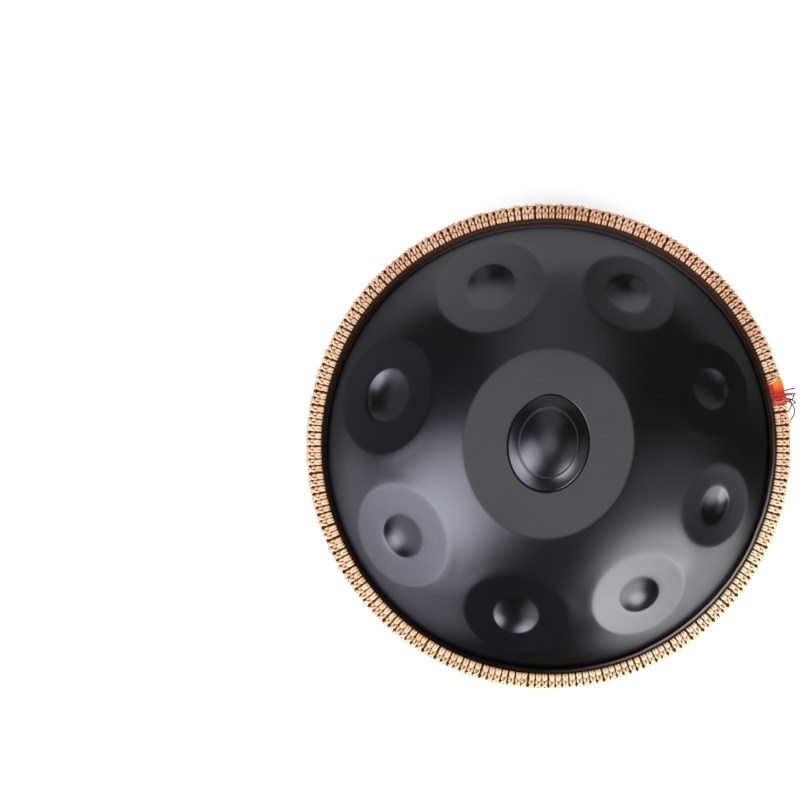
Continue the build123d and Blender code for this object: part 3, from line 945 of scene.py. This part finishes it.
def make_ribbon(material):
    """Smooth ribbon over the joined ends, thin at its rims."""
    line = curve_through([(r, 0.0, z) for r, z in wrap_section(0.0, 270.9)], 3)
    spans = RIBBON_SPANS
    outer, inner = [], []
    for k in range(spans + 1):
        share = k / spans
        azimuth = RIBBON_FROM - RIBBON_TUCK + share * (RIBBON_TO - RIBBON_FROM + RIBBON_TUCK)
        swell = 0.8 * math.sin(math.pi * share) ** 0.6 + 0.12 * math.sin(share * 21.0)
        offset = np.array([[1.0, 0.0, np.sign(z) * 0.6] for _, _, z in line])
        outer.append(on_rim(line + offset * swell * 0.8, azimuth))
        inner.append(on_rim(line - offset, azimuth))
    count = len(line)
    rows = outer + inner[::-1]
    faces = []
    for row in range(len(rows)):
        below = (row + 1) % len(rows)
        for k in range(count - 1):
            a, b = row * count + k, below * count + k
            faces.append((a, b, b + 1, a + 1))
    for end in (0, count - 1):
        for k in range(spans):
            a, b = k * count + end, (k + 1) * count + end
            c, d = (2 * spans - k) * count + end, (2 * spans + 1 - k) * count + end
            faces.append((a, d, c, b) if end == 0 else (a, b, c, d))
    piece = mesh_piece("splice_ribbon_band", np.concatenate(rows), faces, material)
    shares = [k / spans for k in range(spans + 1)]
    set_point_values(piece, "across", np.repeat(shares + shares[::-1], count))
    piece.visible_glossy = False
    finish_piece(piece, "ribbon", "splice_ribbon")


def make_whipping(material):
    """Turns of red thread next to the ribbon."""
    rng = random.Random(5)
    tubes = Tubes()
    for k in range(WHIPPING_TURNS):
        azimuth = WHIPPING_FROM + (k + 0.5) * (RIBBON_FROM - WHIPPING_FROM) / WHIPPING_TURNS
        line = [(268.9, 0.0, 3.4), (268.6, 0.0, 4.6)]
        line += [(r, 0.0, z) for r, z in wrap_section(rng.uniform(-0.5, 0.7), 270.2)]
        line += [(268.6, 0.0, -4.6), (268.9, 0.0, -3.4)]
        lean = rng.uniform(-0.7, 0.7)
        bow = rng.uniform(-0.5, 0.5)
        points = []
        for r, s, z in line:
            out = r - ARC_R
            points.append((r, s + lean * out / 8 + bow * math.cos(out / 3), z))
        radius = WHIPPING_RADIUS * rng.uniform(0.92, 1.08)
        tubes.add(on_rim(curve_through(points, 3), azimuth), radius)
    tubes.finish("splice_whipping_turns", material, "red_thread", "splice_whipping")


def make_edge_strands(material):
    """Strands that run along the rope's inner edge under the splice."""
    tubes = Tubes()
    for side in (1, -1):
        for r, z, size in ((267.9, 2.9, 0.95), (269.4, 4.9, 0.9), (271.2, 6.4, 0.8)):
            line = []
            for azimuth in np.linspace(*EDGE_STRANDS, 15):
                wave = 0.35 * math.sin(2.1 * azimuth + 3 * z)
                along = ARC_R * math.radians(azimuth - EDGE_STRANDS_AT)
                line.append((r + wave, along, side * z))
            tubes.add(on_rim(line, EDGE_STRANDS_AT), size)
    tubes.finish("splice_edge_strands", material, "red_thread", "splice_whipping")


def make_leaning_strands(material):
    """Strands of the next hitch, pulled over the ribbon's inner corner."""
    tubes = Tubes()
    first = [(268.6, 16.3, 4.4), (269.8, 16.2, 6.6), (272.2, 16.2, 7.9), (275.2, 16.35, 8.2),
             (278.0, 16.6, 7.4), (279.8, 17.0, 5.4)]
    second = [(268.4, 15.7, 4.4), (269.5, 15.6, 6.8), (271.5, 15.65, 8.0), (273.9, 15.85, 8.3),
              (276.4, 16.15, 8.0), (278.6, 16.6, 6.0)]
    for route in (first, second):
        line = [(r, ARC_R * math.radians(azimuth - LEANING_AT), z) for r, azimuth, z in route]
        tubes.add(on_rim(curve_through(line, 4), LEANING_AT), LEANING_RADIUS)
    tubes.finish("rope_leaning_strands", material, "rope", "rim_lacing")


# -------- loose thread ends

THREAD_DIAMETER = 0.0014  # in metres
# Length in metres, then the route: distance from the axis, azimuth, height over the rim's middle
THREADS = {
    "red_thread_1": (0.0325, [
        (282.8, 13.05, 1.2), (288.3, 13.2, 1.9), (294.2, 13.2, 1.0),
        (297.4, 13.15, -4.4), (297.8, 13.3, -12.0), (297.2, 13.4, -19.6),
    ]),
    "red_thread_2": (0.0317, [
        (282.8, 12.35, 2.6), (288.4, 12.3, 3.4), (294.0, 12.1, 2.2),
        (297.0, 11.95, -3.4), (296.4, 11.9, -10.6), (297.0, 11.75, -17.8),
    ]),
    "red_thread_3": (0.0363, [
        (282.8, 12.1, -1.0), (288.2, 12.0, -0.4), (293.4, 11.8, -2.0),
        (295.0, 11.2, -7.4), (292.4, 10.75, -13.2), (289.0, 10.95, -19.0), (288.8, 11.3, -25.2),
    ]),
    "red_thread_4": (0.0308, [
        (282.8, 11.6, 0.6), (287.4, 11.15, 1.2), (291.6, 10.6, 0.8),
        (295.2, 10.0, -3.2), (295.8, 9.85, -10.6), (294.6, 9.95, -18.0),
    ]),
    "red_thread_5": (0.0375, [
        (282.8, 11.1, 3.0), (287.4, 10.8, 3.8), (289.6, 10.0, 2.2),
        (288.8, 9.2, -3.2), (287.4, 8.5, -9.8), (286.8, 8.2, -17.0), (287.6, 8.3, -23.8),
    ]),
    "red_thread_6": (0.0378, [
        (282.8, 10.8, -3.4), (288.4, 10.5, -4.4), (291.6, 9.6, -5.2),
        (293.2, 8.5, -6.6), (292.6, 7.4, -10.0), (290.2, 6.55, -15.0), (288.6, 6.1, -21.8),
    ]),
}


def make_thread(name, route, material):
    curve = bpy.data.curves.new(name + "_end", "CURVE")
    curve.dimensions = "3D"
    curve.bevel_depth = THREAD_DIAMETER / 2
    curve.bevel_resolution = 3
    curve.resolution_u = 8
    curve.use_fill_caps = True
    spline = curve.splines.new("NURBS")
    spline.points.add(len(route) - 1)
    for point, (r, azimuth, height) in zip(spline.points, route):
        x, y = direction(azimuth)
        point.co = (r * x * MM, r * y * MM, (RIM_Z + height) * MM, 1.0)
    spline.order_u = 3
    spline.use_endpoint_u = True
    curve.materials.append(material)
    piece = add_object(name + "_end", curve)
    piece.visible_glossy = False
    finish_piece(piece, "red_thread", name)


# -------- studio

WHITE = (1.0, 1.0, 1.0)
COOL = (0.94, 0.94, 1.06)

# In metres
FLOOR_SIDE = 8.0
FLOOR_DROP = 0.0005
BACKDROP_RADIUS = 3.9


def glowing_material(name, grey, glow):
    """Matt grey that also gives off white light of its own."""
    n = Nodes(bpy.data.materials.new(name))
    n.set(Base_Color=(grey, grey, grey), Roughness=0.9, Specular_IOR_Level=0.0)
    n.set(Emission_Color=WHITE, Emission_Strength=glow)
    return n.owner


def make_floor():
    mesh = bpy.data.meshes.new("floor")
    half = FLOOR_SIDE / 2
    corners = [(-half, -half, 0), (half, -half, 0), (half, half, 0), (-half, half, 0)]
    mesh.from_pydata(corners, [], [(0, 1, 2, 3)])
    mesh.materials.append(glowing_material("studio_floor", 0.6, 0.62))
    floor = add_object("floor", mesh)
    floor.location.z = -FLOOR_DROP
    floor.visible_glossy = False


def make_backdrop():
    """White sheet round the whole studio, which only the camera sees."""
    form = bmesh.new()
    bmesh.ops.create_uvsphere(form, u_segments=48, v_segments=24, radius=BACKDROP_RADIUS)
    mesh = bpy.data.meshes.new("backdrop")
    form.to_mesh(mesh)
    form.free()
    mesh.materials.append(glowing_material("studio_backdrop", 0.0, 1.0))
    backdrop = add_object("backdrop", mesh)
    backdrop.visible_diffuse = False
    backdrop.visible_glossy = False
    backdrop.visible_transmission = False
    backdrop.visible_shadow = False


# Soft lights of the studio: azimuth and angle from straight up, the angles from its middle at
# which each is still full and is gone, its strength and its colour. The steel mirrors them.
LIGHTS = [
    (0.0, 0.0, 5.0, 20.0, 0.94, WHITE),
    (86.0, 34.0, 10.0, 26.0, 0.3, WHITE),
    (207.0, 35.0, 6.0, 25.0, 2.9, COOL),
    (213.0, 55.0, 7.0, 24.0, 2.2, COOL),
    (213.0, 86.0, 12.0, 42.0, 1.05, COOL),
    (309.0, 60.0, 9.0, 22.0, 4.2, WHITE),
    (335.0, 46.0, 6.0, 24.0, 0.35, WHITE),
    (314.0, 93.0, 13.0, 34.0, 2.7, WHITE),
    (95.0, 97.0, 15.0, 52.0, 0.8, WHITE),
    (42.0, 104.0, 12.0, 36.0, 0.22, WHITE),
    (165.0, 100.0, 12.0, 40.0, 0.28, WHITE),
    (0.0, 180.0, 35.0, 75.0, 0.5, WHITE),
]
AMBIENT = 0.06  # light from everywhere else
# Lamps that show in no reflection: azimuth, angle from straight up, strength; and their width
SUNS = [(310.0, 34.0, 1.5), (215.0, 40.0, 0.6)]
SUN_WIDTH = 24.0


def make_suns():
    for azimuth, tilt, strength in SUNS:
        sun = bpy.data.lights.new("studio_lamp", "SUN")
        sun.energy = strength
        sun.angle = math.radians(SUN_WIDTH)
        lamp = add_object("studio_lamp", sun)
        lamp.rotation_euler = (0.0, math.radians(tilt), math.radians(azimuth))
        lamp.visible_glossy = False


def soft_light(n, look, azimuth, tilt, full, gone, strength, colour):
    """Light that one of the soft lights sends from the direction looked in."""
    x, y = direction(azimuth)
    lean = math.radians(tilt)
    toward = (x * math.sin(lean), y * math.sin(lean), math.cos(lean))
    near = n.vector("DOT_PRODUCT", look, toward)["Value"]
    edges = [math.cos(math.radians(angle)) for angle in (gone, full)]
    fade = n.add("MapRange", near, *edges, interpolation_type="SMOOTHSTEP").outputs["Result"]
    light = n.add("VectorMath", tuple(strength * c for c in colour), operation="SCALE")
    n.feed(light.inputs["Scale"], fade)
    return light.outputs[0]


def make_world():
    n = Nodes(bpy.data.worlds.new("studio"), "Background")
    look = n.add("TexCoord").outputs["Generated"]
    total = (AMBIENT, AMBIENT, AMBIENT)
    for light in LIGHTS:
        total = n.vector("ADD", soft_light(n, look, *light), total)[0]
    n.set(Color=total)
    bpy.context.scene.world = n.owner


# -------- build

def paint(node, material):
    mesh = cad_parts[node].data
    mesh.materials.clear()
    mesh.materials.append(material)


def main():
    bpy.context.scene.view_settings.view_transform = "Standard"
    make_camera()
    red = plain_material("red_thread", (0.18, 0.007, 0.013), 0.8, spread=0.5, scale=900.0)
    for name, (length, route) in THREADS.items():
        make_thread(name, route, red)
    steel = steel_material()
    make_upper_shell(steel)
    make_lower_shell(steel)
    rope = rope_material("cotton_rope", (0.96, 0.73, 0.50), (0.84, 0.52, 0.31), (0.17, 0.047, 0.014),
                         blush=0.8)
    shadow = plain_material("rope_shadow", (0.08, 0.022, 0.007), 0.9)
    make_rope(rope, shadow)
    make_ribbon(ribbon_material())
    whipping = rope_material("red_whipping", (0.95, 0.24, 0.12), (0.52, 0.016, 0.010),
                             (0.07, 0.002, 0.002))
    make_whipping(whipping)
    make_edge_strands(whipping)
    make_leaning_strands(rope)
    paint("rim_adhesive", plain_material("rim_adhesive", (0.05, 0.035, 0.03), 0.5))
    for node in ("upper_ring_cord", "lower_ring_cord"):
        paint(node, shadow)
    make_floor()
    make_backdrop()
    make_suns()
    make_world()


main()
